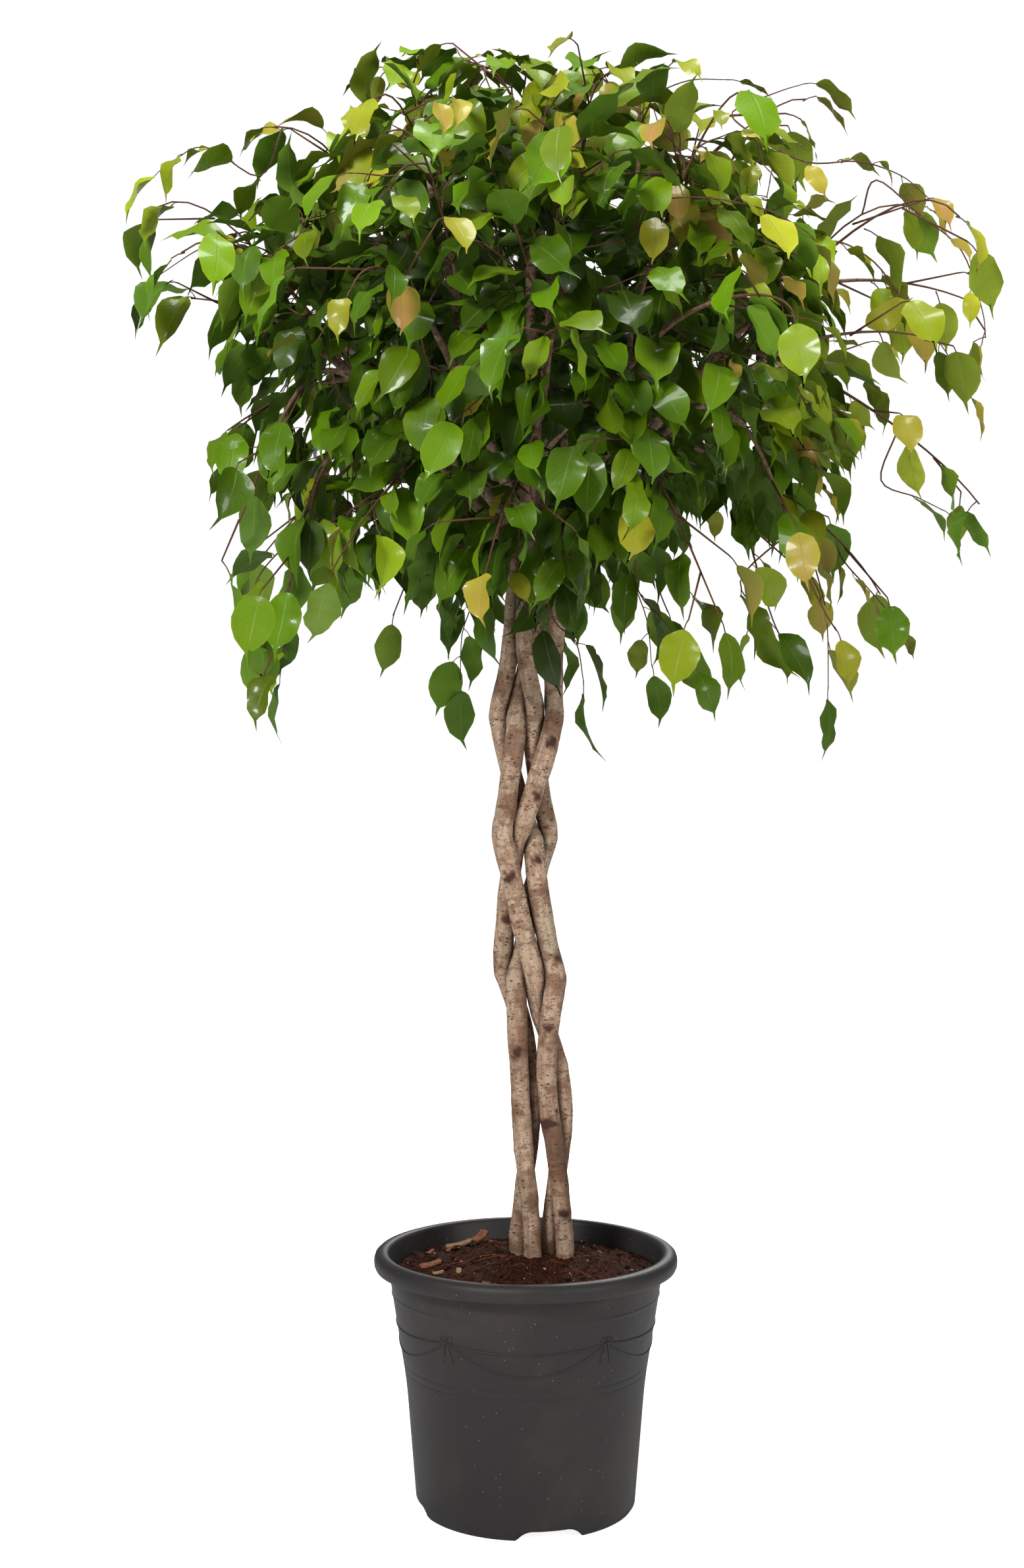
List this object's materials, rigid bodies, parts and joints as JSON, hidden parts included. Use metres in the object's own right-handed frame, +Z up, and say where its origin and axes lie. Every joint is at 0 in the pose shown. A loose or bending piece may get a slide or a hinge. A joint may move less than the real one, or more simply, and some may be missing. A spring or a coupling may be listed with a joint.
{
  "type": "potted braided fig tree",
  "caption": "Weeping fig on a plaited trunk in a round flared plastic pot of potting mix, with a wide umbrella crown of hanging oval leaves.",
  "frame": {"origin": "centre of the pot's underside, on the floor", "axes": "+Z up the trunk, -Y towards the front of the plant, +X to the right as seen from the front"},
  "size_m": [0.9261, 0.8252, 1.4851],
  "materials": {
    "pot_plastic": "satin",
    "potting_mix": "matte",
    "bark": "matte",
    "leaf": "satin"
  },
  "bodies": {
    "root": {"pot": "pot_plastic", "soil": "potting_mix", "stem_left": "bark", "stem_back": "bark", "stem_front": "bark", "stem_right": "bark", "bough_01": "leaf", "bough_02": "leaf", "bough_03": "leaf", "bough_04": "leaf", "bough_05": "leaf", "bough_06": "leaf", "bough_07": "leaf", "bough_08": "leaf", "bough_09": "leaf", "bough_10": "leaf", "bough_11": "leaf", "bough_12": "leaf", "bough_13": "leaf", "bough_14": "leaf", "bough_15": "leaf", "bough_16": "leaf", "bough_17": "leaf", "bough_18": "leaf", "bough_19": "leaf", "bough_20": "leaf", "bough_21": "leaf", "bough_22": "leaf", "bough_23": "leaf", "bough_24": "leaf", "bough_25": "leaf", "bough_26": "leaf", "bough_27": "leaf", "bough_28": "leaf", "bough_29": "leaf", "bough_30": "leaf", "bough_31": "leaf", "bough_32": "leaf", "bough_33": "leaf", "bough_34": "leaf", "bough_35": "leaf", "bough_36": "leaf", "bough_37": "leaf", "bough_38": "leaf", "bough_39": "leaf", "bough_40": "leaf", "bough_41": "leaf", "bough_42": "leaf", "bough_43": "leaf", "bough_44": "leaf", "bough_45": "leaf"}
  },
  "joints": []
}
